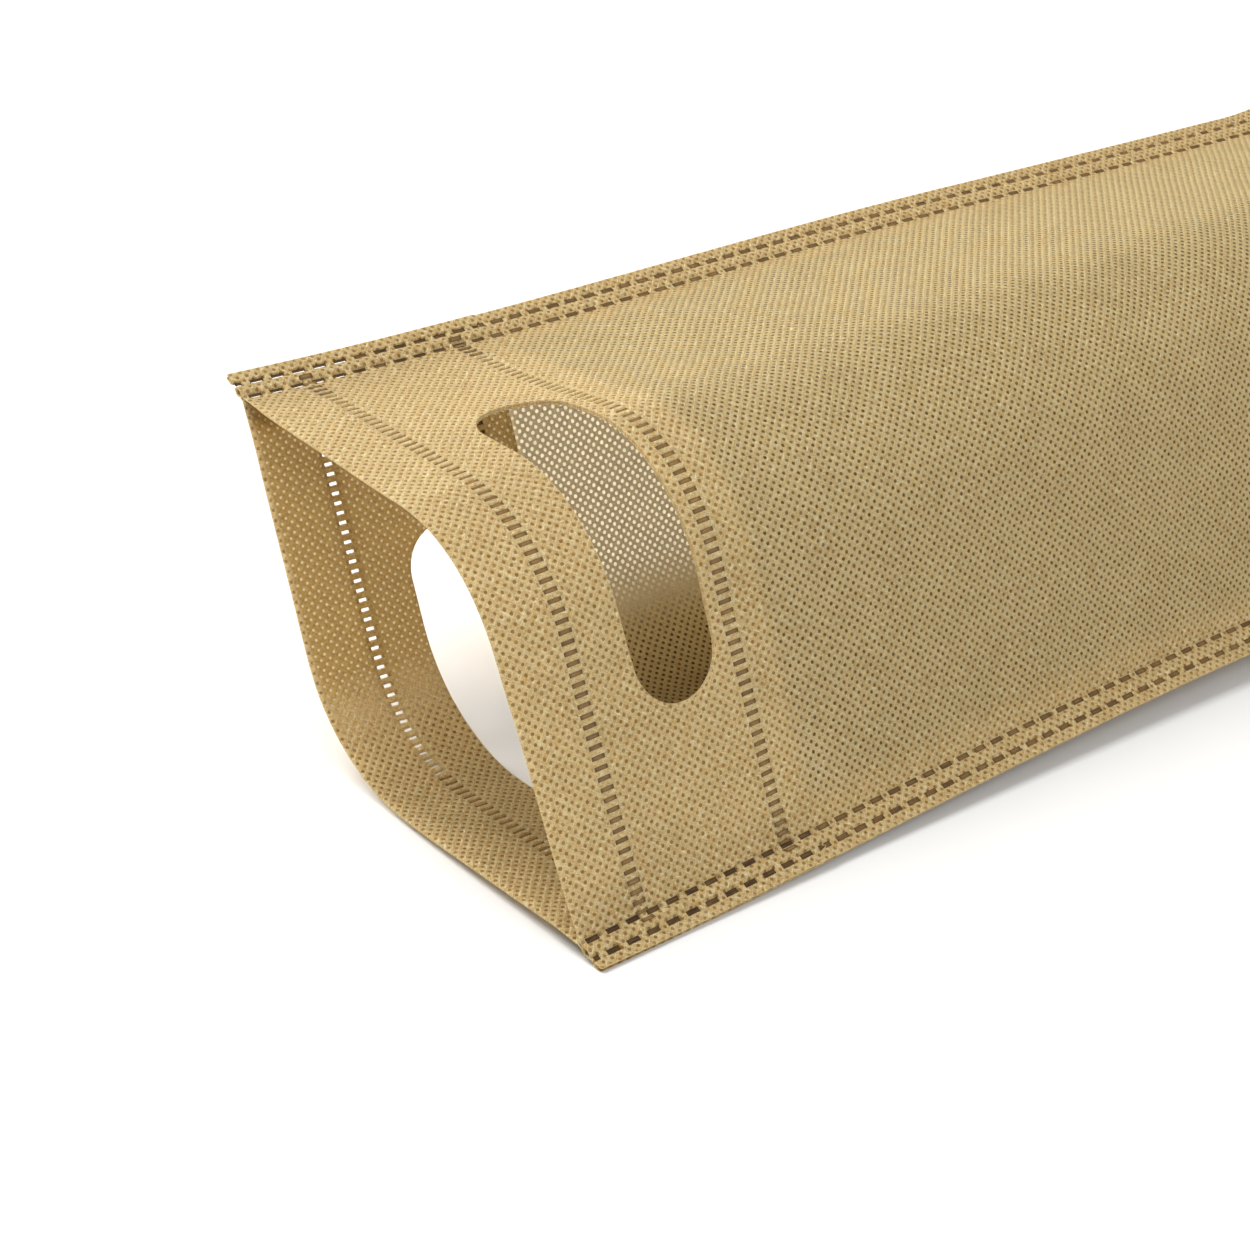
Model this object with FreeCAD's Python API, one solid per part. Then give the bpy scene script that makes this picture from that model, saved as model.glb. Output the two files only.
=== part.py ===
"""Flat bag for one bottle: two welded panels of non-woven cloth with turned-in hems and cut-out handles.

The bag lies on its back, propped open as if full. X runs from the mouth to the closed bottom, +Y to the far
side seam and +Z up. A cross section is worked out in its own axes: u along the line from the near seam to the
far seam, and n square to it, up through the front panel. The front panel is the back panel turned half round.
"""
import FreeCAD, Part
import math
import os

# Cloth and outline of the bag, laid flat
bag_length = 380.0
panel_width = 142.0          # along the cloth, between the folds at the two side seams
cloth = 0.4                  # thickness of one layer
weld_film = 0.1              # room that a weld takes between two layers

# Side seams, and the bottom seam that is made like them
weld_pitch = 4.7
dash_length = 2.7
dash_width = 1.0
first_dash = 2.2             # middle of the first dash from the mouth
row_stagger = 2.3            # how far the outer row is shifted along the seam
inner_row = 0.8              # middle of the inner row, out from the fold
row_spacing = 3.65
edge_margin = 2.85           # outer row to the cut edge

# Hem and handle, measured along the bag from the mouth
mouth_row = 14.0
mouth_row_to_handle = 11.8
handle_height = 19.0
handle_length = 77.5
handle_to_row = 4.2
hem_tail = 8.0
hem_dash_length = 3.4
hem_dash_width = 1.1
hem_dash_pitch = 1.95
hem_dash_inset = 1.5         # first dash of a hem row, in from the fold at the side

# Shape of the full bag: each panel is a flank, a bend, a flat strip, a bend and a flank
bend_radius = 35.0
rest_strip = 12.0            # width of the flat strip that lies on the table
mouth_flank = 33.0           # degrees between a flank and the line through the two seams
body_flank = 42.5
taper_flank = 27.0
near_flank_rise = 4.8        # degrees that the back panel's near flank stands off the table at the mouth
band_margin = 3.0            # straight stretch past the hem
shoulder_length = 110.0      # stretch over which the mouth widens to the body
taper_length = 90.0          # stretch over which the body closes to the flat bottom
taper_middle = 45.0          # from the bottom seam to the section in the middle of the taper

roll = math.radians(mouth_flank - near_flank_rise)
seam_width = inner_row + row_spacing + edge_margin
half_gap = cloth + 1.5 * weld_film
handle_middle = mouth_row + mouth_row_to_handle + handle_height / 2
handle_row = handle_middle + handle_height / 2 + handle_to_row
hem_depth = handle_row + hem_tail
band_length = hem_depth + band_margin
bottom_fold = bag_length - seam_width

BACK = 1
FRONT = -1


def heading(angle):
    """Unit vector in a section at an angle to u."""
    return FreeCAD.Vector(0, math.cos(angle), math.sin(angle))


def left_of(angle):
    """Unit vector to the left of a heading, which is into the bag on the back panel."""
    return FreeCAD.Vector(0, -math.sin(angle), math.cos(angle))


class Section:
    """Cross section of the back panel's inner face, from the near fold to the far fold."""

    def __init__(self, x, flank_degrees, sag):
        self.x = x
        self.sag = sag
        self.flank = math.radians(flank_degrees)
        self.strip = roll * min(1.0, flank_degrees / mouth_flank)
        flanks = panel_width - rest_strip - 2 * bend_radius * self.flank
        uneven = rest_strip * math.sin(self.strip) / math.sin(self.flank)
        self.lengths = [
            (flanks - uneven) / 2,
            bend_radius * (self.flank - self.strip),
            rest_strip,
            bend_radius * (self.flank + self.strip),
            (flanks + uneven) / 2,
        ]
        chord = (flanks * math.cos(self.flank) + 2 * bend_radius * math.sin(self.flank)
                 + rest_strip * math.cos(self.strip))
        self.half_chord = chord / 2
        first_bend = self.fold(-1, 0) + heading(-self.flank) * self.lengths[0]
        self.near_centre = first_bend + left_of(-self.flank) * bend_radius
        self.far_centre = self.near_centre + heading(-self.strip) * rest_strip

    def fold(self, end, depth):
        """Corner where a flank leaves the seam, at the near end (-1) or the far end (1)."""
        u = self.half_chord - depth * math.tan(self.flank / 2)
        return FreeCAD.Vector(0, end * u, depth - half_gap)

    def edge(self, end, depth):
        """Cut edge of the seam."""
        return FreeCAD.Vector(0, end * (self.half_chord + seam_width), depth - half_gap)

    def bend_point(self, centre, angle, depth):
        """Point of a bend where the cloth has the given heading."""
        return centre - left_of(angle) * (bend_radius - depth)

    def strip_height(self):
        """Height of the flat strip's underside above the line through the seams, with the bag rolled."""
        low = self.bend_point(self.near_centre, -self.strip, -cloth)
        return low.y * math.sin(roll) + low.z * math.cos(roll)

    def line(self, depth):
        """Edges of the cloth's line from cut edge to cut edge, at a depth into the bag."""
        middle = (self.flank - self.strip) / 2
        near = [self.bend_point(self.near_centre, angle, depth)
                for angle in (-self.flank, -(self.flank + self.strip) / 2, -self.strip)]
        far = [self.bend_point(self.far_centre, angle, depth)
               for angle in (-self.strip, middle, self.flank)]
        return [
            Part.LineSegment(self.edge(-1, depth), self.fold(-1, depth)),
            Part.LineSegment(self.fold(-1, depth), near[0]),
            Part.Arc(*near),
            Part.LineSegment(near[2], far[0]),
            Part.Arc(*far),
            Part.LineSegment(far[2], self.fold(1, depth)),
            Part.LineSegment(self.fold(1, depth), self.edge(1, depth)),
        ]

    def point(self, along, depth):
        """Point of the cloth, a length along it from the near fold, at a depth into the bag."""
        near_flank, near_bend, strip, far_bend, far_flank = self.lengths
        if along < near_flank:
            return self.fold(-1, 0) + heading(-self.flank) * along + left_of(-self.flank) * depth
        along -= near_flank
        if along < near_bend:
            return self.bend_point(self.near_centre, along / bend_radius - self.flank, depth)
        along -= near_bend
        if along < strip:
            return self.bend_point(self.near_centre, -self.strip, depth) + heading(-self.strip) * along
        along -= strip
        if along < far_bend:
            return self.bend_point(self.far_centre, along / bend_radius - self.strip, depth)
        along -= far_bend
        start = self.bend_point(self.far_centre, self.flank, depth)
        return start + heading(self.flank) * along


class FlatSection:
    """Cross section at the closed bottom, where both panels lie flat; its pieces match those of the body."""

    def __init__(self, x, body):
        self.x = x
        self.sag = body.sag
        self.half_chord = panel_width / 2
        self.lengths = body.lengths

    def line(self, depth):
        """Edges of the flat cloth's line from cut edge to cut edge, at a depth into the bag."""
        u = -self.half_chord - seam_width
        edges = []
        for length in [seam_width] + self.lengths + [seam_width]:
            start = FreeCAD.Vector(0, u, depth - half_gap)
            u += length
            edges.append(Part.LineSegment(start, FreeCAD.Vector(0, u, depth - half_gap)))
        return edges


def layer_wire(section, outer, inner):
    """Closed outline of a layer of cloth between two depths into the bag, in the section's own axes."""
    lines = [section.line(outer), section.line(inner)]
    edges = [edge.toShape() for line in lines for edge in line]
    for end in (0, -1):
        tips = [line[end].StartPoint if end == 0 else line[end].EndPoint for line in lines]
        edges.append(Part.makeLine(*tips))
    return Part.Wire(Part.__sortEdges__(edges))


def placed(shape, x, sag, side):
    """Copy of a shape drawn in a section's axes, moved to its place on the bag."""
    turned = shape.copy()
    if side == FRONT:
        turned.rotate(FreeCAD.Vector(), FreeCAD.Vector(1, 0, 0), 180)
    turned.rotate(FreeCAD.Vector(), FreeCAD.Vector(1, 0, 0), math.degrees(roll))
    turned.translate(FreeCAD.Vector(x, 0, -sag))
    return turned


# The mouth end sags until its flat strip lies on the table with the body's
mouth_sag = Section(0, mouth_flank, 0).strip_height() - Section(0, body_flank, 0).strip_height()
mouth = Section(0, mouth_flank, mouth_sag)
band_end = Section(band_length, mouth_flank, mouth_sag)
body_start = Section(band_length + shoulder_length, body_flank, 0)
body_end = Section(bottom_fold - taper_length, body_flank, 0)
taper = Section(bottom_fold - taper_middle, taper_flank, 0)
bottom_start = FlatSection(bottom_fold, body_end)
bottom_end = FlatSection(bag_length, body_end)
stations = [mouth, band_end, body_start, body_end, taper, bottom_start, bottom_end]


def between(x):
    """Half of the width between the folds, and the sag, at a place along the bag."""
    for low, high in zip(stations, stations[1:]):
        if x <= high.x:
            break
    share = (x - low.x) / (high.x - low.x)
    half_chord = low.half_chord + share * (high.half_chord - low.half_chord)
    return half_chord, low.sag + share * (high.sag - low.sag)


def band_layer(outer, inner, start, end, side):
    """Straight length of a layer of cloth at the mouth."""
    face = Part.Face(layer_wire(mouth, outer, inner))
    solid = face.extrude(FreeCAD.Vector(end - start, 0, 0))
    return placed(solid, start, mouth.sag, side)


def handle_tool(side):
    """Cutter for the oblong handle hole, square to the cloth at both of its round ends."""
    radius = handle_height / 2
    reach = bend_radius
    middle = panel_width / 2
    straight = handle_length / 2 - radius
    corners = []
    cutter = None
    for along in (middle - straight, middle + straight):
        on_cloth = mouth.point(along, 0)
        outward = on_cloth - mouth.point(along, cloth)
        outward.normalize()
        inside = on_cloth - outward * (reach / 2)
        outside = on_cloth + outward * reach
        corners.append([inside, outside])
        end = Part.makeCylinder(radius, reach * 1.5, inside, outward)
        cutter = end if cutter is None else cutter.fuse(end)
    outline = corners[0] + corners[1][::-1]
    slab = Part.Face(Part.makePolygon(outline + outline[:1]))
    slab.translate(FreeCAD.Vector(-radius, 0, 0))
    cutter = cutter.fuse(slab.extrude(FreeCAD.Vector(handle_height, 0, 0)))
    return placed(cutter, handle_middle, mouth.sag, side)


def panel(side):
    """One cloth panel: the band at the mouth, with its handle hole, and the body that goes on from it."""
    band = band_layer(-cloth, 0, 0, band_length, side).cut(handle_tool(side))
    wires = [placed(layer_wire(place, -cloth, 0), place.x, place.sag, side) for place in stations[1:]]
    body = Part.makeLoft(wires, True, True)
    return Part.makeCompound([band.Solids[0], body])


def hem(side, seam_welds):
    """Turned-in layer at the mouth: the fold over the panel's edge and the cloth behind it."""
    turned = band_layer(weld_film, weld_film + cloth, 0, hem_depth, side)
    fold = band_layer(-cloth, weld_film + cloth, -cloth, 0, side)
    return turned.fuse(fold).cut(handle_tool(side)).cut(seam_welds).removeSplitter()


def seam_dash(x, offset, end):
    """One weld through a side seam, from panel to panel."""
    outlines = []
    for place in (x - dash_length / 2, x + dash_length / 2):
        half_chord, sag = between(place)
        u = [half_chord + offset - dash_width / 2, half_chord + offset + dash_width / 2]
        outline = [FreeCAD.Vector(0, end * u[i], j * half_gap) for i, j in ((0, -1), (1, -1), (1, 1), (0, 1))]
        outlines.append(placed(Part.makePolygon(outline + outline[:1]), place, sag, BACK))
    return Part.makeLoft(outlines, True, True)


def seam_row(offset, shift, end):
    """A row of welds along a side seam, from the mouth to the bottom seam."""
    start = first_dash + shift
    count = int((bottom_fold - dash_length - start) / weld_pitch) + 1
    return Part.makeCompound([seam_dash(start + i * weld_pitch, offset, end) for i in range(count)])


def bottom_row(offset, shift):
    """A row of welds along the bottom seam, between the two side seams."""
    span = panel_width - 2 * dash_length - weld_pitch
    count = int(span / weld_pitch) + 1
    start = -(count - 1) * weld_pitch / 2 + shift
    dashes = []
    for i in range(count):
        corner = FreeCAD.Vector(-dash_width / 2, start + i * weld_pitch - dash_length / 2, -half_gap)
        dash = Part.makeBox(dash_width, dash_length, 2 * half_gap, corner)
        dashes.append(placed(dash, bottom_fold + offset, bottom_start.sag, BACK))
    return Part.makeCompound(dashes)


def hem_row(x, side):
    """A row of welds across a panel, between the panel and its hem."""
    count = int((panel_width - 2 * hem_dash_inset) / hem_dash_pitch) + 1
    start = (panel_width - (count - 1) * hem_dash_pitch) / 2
    dashes = []
    for i in range(count):
        low = start + i * hem_dash_pitch - hem_dash_width / 2
        high = low + hem_dash_width
        outline = [mouth.point(low, 0), mouth.point(high, 0), mouth.point(high, weld_film),
                   mouth.point(low, weld_film)]
        dash = Part.Face(Part.makePolygon(outline + outline[:1])).extrude(FreeCAD.Vector(hem_dash_length, 0, 0))
        dashes.append(placed(dash, x - hem_dash_length / 2, mouth.sag, side))
    return Part.makeCompound(dashes)


outer_row = inner_row + row_spacing
nodes = {
    "near_seam_inner_welds": seam_row(inner_row, 0, -1),
    "near_seam_outer_welds": seam_row(outer_row, row_stagger, -1),
    "far_seam_inner_welds": seam_row(inner_row, 0, 1),
    "far_seam_outer_welds": seam_row(outer_row, row_stagger, 1),
    "bottom_seam_inner_welds": bottom_row(inner_row, 0),
    "bottom_seam_outer_welds": bottom_row(outer_row, row_stagger / 2),
}
side_welds = Part.makeCompound([nodes[name] for name in nodes if name.startswith(("near", "far"))])
for name, side in (("front", FRONT), ("back", BACK)):
    nodes[name + "_panel"] = panel(side)
    nodes[name + "_hem"] = hem(side, side_welds)
    nodes[name + "_mouth_welds"] = hem_row(mouth_row, side)
    nodes[name + "_handle_welds"] = hem_row(handle_row, side)

# The origin is under the middle of the bag, on the table
box = Part.makeCompound(list(nodes.values())).BoundBox
to_origin = FreeCAD.Vector(-(box.XMin + box.XMax) / 2, -(box.YMin + box.YMax) / 2, -box.ZMin)
os.makedirs("parts", exist_ok=True)
for name, shape in nodes.items():
    shape.translate(to_origin)
    shape.exportStep("parts/" + name + ".step")
    print(name, len(shape.Solids), "solids", round(shape.Volume, 2), "mm3", shape.isValid())
print("size", round(box.XLength, 2), round(box.YLength, 2), round(box.ZLength, 2))
print("moved by", [round(value, 3) for value in to_origin])
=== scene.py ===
"""Dresses a welded bottle bag: two panels of non-woven cloth, their turned-in hems and the pressed welds.

Sizes are in millimetres until a mesh is written. A place on the bag is given as on the cloth laid flat: x
runs along the bag from the mouth, and s across it from a panel's middle, below 0 towards the near seam.
"""
import logging
from dataclasses import dataclass, field
from enum import Enum
from functools import partial

import bpy
import numpy as np
from mathutils import Matrix


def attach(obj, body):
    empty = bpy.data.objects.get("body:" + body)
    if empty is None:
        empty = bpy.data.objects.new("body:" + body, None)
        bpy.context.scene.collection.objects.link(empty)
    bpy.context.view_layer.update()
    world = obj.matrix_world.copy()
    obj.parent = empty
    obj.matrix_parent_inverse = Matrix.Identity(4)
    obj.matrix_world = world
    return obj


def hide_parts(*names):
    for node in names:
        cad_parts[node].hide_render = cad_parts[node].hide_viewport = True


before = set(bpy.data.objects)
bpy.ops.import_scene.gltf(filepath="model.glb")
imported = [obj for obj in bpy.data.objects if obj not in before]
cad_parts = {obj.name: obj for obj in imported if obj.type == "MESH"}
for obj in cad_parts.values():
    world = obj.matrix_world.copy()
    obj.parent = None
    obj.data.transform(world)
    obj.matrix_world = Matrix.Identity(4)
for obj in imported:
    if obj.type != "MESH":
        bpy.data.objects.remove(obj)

log = logging.getLogger("bottle_bag")
Array = np.ndarray
Point = tuple[float, float, float]
Socket = bpy.types.NodeSocket
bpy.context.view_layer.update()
MM = 0.001
MOUTH = -189.8  # the mouth's edge along X, in the shared frame
EASE = 0.09  # distance of the grid lines on both sides of a dash's edge
CLEAR = 0.4  # least distance of a dash's grid line from the border of its grid
UNCUT = (0, 0)  # no dash of a row is cut through
RING = 12  # points in a ring of a weld's lens
SHARP = 50  # angle in degrees from which an edge is shaded sharp


class Side(Enum):
    """The two panels of the bag, by the way their outer face points."""

    FRONT = 1
    BACK = -1


class Face(Enum):
    """The two faces of the doubled cloth at the mouth that a weld shows on."""

    OUTER = 1
    INNER = -1


def smooth(value: Array) -> Array:
    """Gives 3t^2 - 2t^3 of a value t that is kept between 0 and 1."""
    t = np.clip(value, 0.0, 1.0)
    return t * t * (3.0 - 2.0 * t)


def linear(colour: str) -> tuple[float, float, float, float]:
    """Turns an sRGB colour into a linear one.

    Args:
        colour: The colour as six hex digits after a hash sign.

    Returns:
        Red, green, blue and an alpha of 1.
    """
    parts = np.array([int(colour[i:i + 2], 16) for i in (1, 3, 5)]) / 255.0
    low = parts / 12.92
    high = ((parts + 0.055) / 1.055) ** 2.4
    return (*np.where(parts <= 0.04045, low, high).tolist(), 1.0)


@dataclass(frozen=True)
class Sizes:
    """The bag laid flat, and its welds.

    The size of a dash and half that of a slit are along x and s, and the cuts are as in WeldRow.
    """

    length: float = 380.0
    width: float = 142.0
    seam: float = 7.3
    grid_inset: float = 5.6
    cloth: float = 0.4
    hem_face: float = 0.9
    pitch: float = 4.7
    dash: tuple[float, float] = (3.1, 1.2)
    seam_count: int = 79
    bottom_count: int = 29
    first_dash: float = 2.2
    stagger: float = 2.3
    inner_row: float = 0.8
    outer_row: float = 4.45
    far_inner_cut: tuple[int, int] = (0, 5)
    far_outer_cut: tuple[int, int] = (0, 6)
    mouth_row: float = 14.0
    handle_row: float = 49.0
    hem_depth: float = 57.0
    hem_dash: tuple[float, float] = (3.0, 0.95)
    hem_pitch: float = 1.95
    hem_slit: tuple[float, float] = (0.85, 0.33)
    hem_count: int = 76
    hem_reach: float = 65.2
    back_mouth_cut: tuple[int, int] = (32, 70)
    handle_middle: float = 35.3
    handle_length: float = 77.5
    handle_height: float = 19.0

    @property
    def fold(self) -> float:
        """Place across the cloth where a panel leaves the side seam."""
        return self.width / 2

    @property
    def edge(self) -> float:
        """Place across the cloth of the cut edge."""
        return self.fold + self.seam

    @property
    def grid_reach(self) -> float:
        """Place across the cloth where the panel's own grid ends, short of the side seam's grid."""
        return self.fold - self.grid_inset

    @property
    def bottom_fold(self) -> float:
        """Place along the bag where the panels meet at the bottom."""
        return self.length - self.seam


@dataclass(frozen=True)
class WeldRow:
    """A straight row of pressed dashes with rounded corners, some of which are cut through.

    Pairs are along x and s. A slit is given by half its length and width, and cut holds the number of the
    first dash that is cut through and the number after the last.
    """

    start: tuple[float, float]
    step: tuple[float, float]
    count: int
    size: tuple[float, float]
    cut: tuple[int, int] = UNCUT
    slit: tuple[float, float] = (1.5, 0.55)
    corner: float = 0.15
    ease: float = 0.12

    def middles(self) -> Array:
        """Places of the dashes' middles, as an array of x and s."""
        return np.array(self.start) + np.arange(self.count)[:, None] * np.array(self.step)

    def nearest(self, x: Array, s: Array) -> tuple[Array, Array]:
        """Finds the nearest dash to places.

        The distance to a dash is that to the rectangle of its corners' centres, less the corners' radius.

        Args:
            x: Places along the bag.
            s: Places across it.

        Returns:
            The numbers of the dashes, and the distances to their edges, below 0 inside.
        """
        step = np.array(self.step)
        along = ((x - self.start[0]) * step[0] + (s - self.start[1]) * step[1]) / (step @ step)
        k = np.clip(np.round(along), 0, self.count - 1)
        inner = np.array(self.size) / 2 - self.corner
        dx = np.maximum(np.abs(x - self.start[0] - k * step[0]) - inner[0], 0)
        ds = np.maximum(np.abs(s - self.start[1] - k * step[1]) - inner[1], 0)
        return k, np.hypot(dx, ds) - self.corner

    def cover(self, x: Array, s: Array) -> Array:
        """Says how far places lie in a dash: 1 inside, 0 outside and eased at its edge."""
        return smooth(0.5 - self.nearest(x, s)[1] / self.ease)

    def opened(self, x: Array, s: Array) -> Array:
        """Finds the places in the slits of the dashes that are cut through.

        Args:
            x: Places along the bag.
            s: Places across it.

        Returns:
            Whether each place lies in a slit.
        """
        k, _ = self.nearest(x, s)
        within = np.abs(x - self.start[0] - k * self.step[0]) < self.slit[0]
        within &= np.abs(s - self.start[1] - k * self.step[1]) < self.slit[1]
        return within & (k >= self.cut[0]) & (k < self.cut[1])


class Welds:
    """All rows of welds, by the names of their CAD nodes."""

    def __init__(self, z: Sizes) -> None:
        """Works the rows out from the bag's sizes.

        Args:
            z: The sizes.
        """
        self.reach = z.hem_reach
        self.seam: dict[str, WeldRow] = {}
        inner, outer = z.fold + z.inner_row, z.fold + z.outer_row
        edge_dash = z.first_dash + z.stagger - z.pitch
        ends = (("near", -1, UNCUT, UNCUT), ("far", 1, z.far_inner_cut, z.far_outer_cut))
        for name, end, inner_cut, outer_cut in ends:
            self.seam[name + "_seam_inner_welds"] = WeldRow(
                (z.first_dash, end * inner), (z.pitch, 0), z.seam_count, z.dash, inner_cut)
            self.seam[name + "_seam_outer_welds"] = WeldRow(
                (edge_dash, end * outer), (z.pitch, 0), z.seam_count, z.dash, outer_cut)
        lowest = -(z.bottom_count - 1) / 2 * z.pitch
        for name, offset, shift in (("inner", z.inner_row, 0.0), ("outer", z.outer_row, z.stagger / 2)):
            self.seam["bottom_seam_" + name + "_welds"] = WeldRow(
                (z.bottom_fold + offset, lowest + shift), (0, z.pitch), z.bottom_count, z.dash[::-1])
        first = -(z.hem_count - 1) * z.hem_pitch / 2
        step = (0, z.hem_pitch)
        self.hem = {side: {
            "mouth_welds": WeldRow((z.mouth_row, first), step, z.hem_count, z.hem_dash, cut, z.hem_slit),
            "handle_welds": WeldRow((z.handle_row, first), step, z.hem_count, z.hem_dash),
        } for side, cut in ((Side.FRONT, UNCUT), (Side.BACK, z.back_mouth_cut))}

    def seam_cover(self, x: Array, s: Array) -> Array:
        """Says how far places lie in a dash of the side or bottom seams."""
        return np.max([row.cover(x, s) for row in self.seam.values()], axis=0)

    def hem_cover(self, x: Array, s: Array) -> Array:
        """Says how far places lie in a dash across a panel; past its reach a row is printed flat."""
        most = np.max([row.cover(x, s) for row in self.hem[Side.FRONT].values()], axis=0)
        return most * (np.abs(s) < self.reach)

    def beside(self, x: Array) -> Array:
        """Says how far places lie in the rows across a panel, gaps too: 1 up to 0.1 mm off, 0 from 0.7 mm."""
        off = [np.abs(x - row.start[0]) - row.size[0] / 2 for row in self.hem[Side.FRONT].values()]
        return 1 - smooth((np.min(off, axis=0) - 0.1) / 0.6)

    def opened(self, side: Side, x: Array, s: Array) -> Array:
        """Says which places of a panel lie in the slit of a dash that is cut through."""
        rows = (*self.seam.values(), *self.hem[side].values())
        return np.any([row.opened(x, s) for row in rows], axis=0)


@dataclass(frozen=True)
class Bulge:
    """A soft swelling of a panel, as a bell curve around a place on the cloth."""

    x: float
    s: float
    reach_x: float
    reach_s: float
    height: float

    def rise(self, x: Array, s: Array) -> Array:
        """Height of the swelling at places on the cloth."""
        away = -((x - self.x) / self.reach_x) ** 2 - ((s - self.s) / self.reach_s) ** 2
        return self.height * np.exp(away)


@dataclass(frozen=True)
class Wave:
    """A slow wave of the cloth: a sine of x and s over their lengths, plus a phase of the panel's own."""

    height: float
    length_x: float
    length_s: float
    phase: float

    def rise(self, side: Side, x: Array, s: Array) -> Array:
        """Height of the wave at places on a panel."""
        return self.height * np.sin(x / self.length_x + s / self.length_s + self.phase * side.value)


@dataclass
class BagShape:
    """Form of the full bag: a cross section is a flank, a round bend and a flank on each side of the seams.

    The cloth's heading across a section goes from +flank at the near fold to -flank at the far fold, evenly
    over the bend, and turns to the welded strip's own angle within the fold. Summed along s, the heading's
    cosine and sine give the section, which is then rolled about X and set at its height over the table.
    """

    sizes: Sizes
    welds: Welds
    bend_radius: float = 35.1
    mouth_flank: float = 30.9
    body_flank: float = 43.0
    widening: float = 130.0
    closing: float = 90.0
    closing_power: float = 1.55
    least_flank: float = 1e-4
    roll: float = 29.2
    near_strip: float = -3.7
    far_strip: float = -8.7
    strip_end: float = 370.0
    strip_easing: float = 60.0
    fold_round: float = 1.6
    mouth_middle: tuple[float, float] = (-0.9, 33.6)
    body_shift: tuple[float, float] = (1.4, 4.2)
    shift_length: float = 185.0
    outer_face: float = 0.45
    hem_in_seam: float = 0.22
    seam_press: float = 0.15
    layer_press: float = 0.16
    seam_gap: float = 0.02
    seam_film: float = 0.11
    film: float = 0.08
    hem_press: float = 0.3
    hem_dimple: float = 0.35
    pucker: float = 0.14
    pucker_reach: float = 2.2
    pillow_between: float = 0.24
    pillow_border: float = 0.12
    border_width: float = 3.4
    fold_fade: float = 0.2
    corner_fade: float = 8.0
    wave_fade: float = 12.0
    swell_fade: float = 10.0
    hem_easing: float = 1.2
    seam_start: float = 63.0
    seam_easing: float = 6.0
    x_count: int = 381
    s_count: int = 1567
    bow_length: float = 40.0
    table_easing: float = 0.04
    waves: tuple[Wave, ...] = (
        Wave(0.16, 6.5, 10.7, 0.7), Wave(0.12, 4.3, -6.2, 2.1), Wave(0.2, 14, 17, 4))
    bulges: dict[Side, tuple[Bulge, ...]] = field(default_factory=lambda: {
        Side.FRONT: (Bulge(52, 18, 22, 20, 2.6), Bulge(48, -22, 20, 18, -0.8)),
        Side.BACK: (),
    })
    bow: dict[Side, float] = field(default_factory=lambda: {Side.FRONT: -0.9, Side.BACK: -2.4})
    lowest: dict[Side, float] = field(default_factory=lambda: {Side.FRONT: 0.9, Side.BACK: 0.02})

    def __post_init__(self) -> None:
        """Tabulates the sections of both panels."""
        self.x_lines = np.linspace(0, self.sizes.length, self.x_count)
        self.s_lines = np.linspace(-self.sizes.edge, self.sizes.edge, self.s_count)
        self.tables = {side: self.section(side) for side in Side}

    def flank(self, x: Array) -> Array:
        """Gives the angle of the flanks, which eases from the mouth's to the body's and closes at the bottom.

        Args:
            x: Places along the bag.

        Returns:
            Angles in radians.
        """
        full = self.body_flank - (self.body_flank - self.mouth_flank) * np.exp(-x / self.widening)
        shut = 1 - np.clip((self.sizes.bottom_fold - x) / self.closing, 0, 1)
        return np.radians(full) * (1 - shut ** self.closing_power)

    def section(self, side: Side) -> Array:
        """Tabulates a panel's sections by the formula of the class.

        Args:
            side: The panel.

        Returns:
            Y, Z and the outward normal's Y and Z, on the grid of x_lines and s_lines.
        """
        x = self.x_lines[:, None]
        s = self.s_lines[None, :]
        flank = self.flank(x)
        bend = np.clip(-s / (self.bend_radius * np.maximum(flank, self.least_flank)), -1, 1)
        out = smooth((np.abs(s) - self.sizes.fold) / self.fold_round + 0.5)
        strip = np.radians(np.where(s < 0, self.near_strip, self.far_strip))
        strip = strip * smooth((self.strip_end - x) / self.strip_easing)
        heading = side.value * flank * bend * (1 - out) + strip * out
        step = self.s_lines[1] - self.s_lines[0]
        near, far = np.searchsorted(self.s_lines, (-self.sizes.fold, self.sizes.fold))
        runs = []
        for part in (np.cos(heading), np.sin(heading)):
            run = np.zeros_like(part)
            run[:, 1:] = np.cumsum((part[:, 1:] + part[:, :-1]) / 2 * step, axis=1)
            runs.append(run - (run[:, near] + run[:, far])[:, None] / 2)
        roll = np.radians(self.roll)
        rise = smooth(x / self.shift_length)
        y = self.mouth_middle[0] + self.body_shift[0] * rise + runs[0] * np.cos(roll) - runs[1] * np.sin(roll)
        z = self.mouth_middle[1] + self.body_shift[1] * rise + runs[0] * np.sin(roll) + runs[1] * np.cos(roll)
        angle = heading + roll
        return np.stack([y, z, -side.value * np.sin(angle), side.value * np.cos(angle)])

    def sample(self, side: Side, x: Array, s: Array) -> Array:
        """Reads a panel's table between its lines, evenly along x and s.

        Args:
            side: The panel.
            x: Places along the bag.
            s: Places across it.

        Returns:
            Y, Z and the outward normal's Y and Z.
        """
        i = np.clip(x, 0, self.sizes.length) / (self.x_lines[1] - self.x_lines[0])
        j = (s + self.sizes.edge) / (self.s_lines[1] - self.s_lines[0])
        low_i = np.clip(i.astype(int), 0, len(self.x_lines) - 2)
        low_j = np.clip(j.astype(int), 0, len(self.s_lines) - 2)
        p, q = i - low_i, j - low_j
        table = self.tables[side]
        low = table[:, low_i, low_j] * (1 - q) + table[:, low_i, low_j + 1] * q
        high = table[:, low_i + 1, low_j] * (1 - q) + table[:, low_i + 1, low_j + 1] * q
        return low * (1 - p) + high * p

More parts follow.
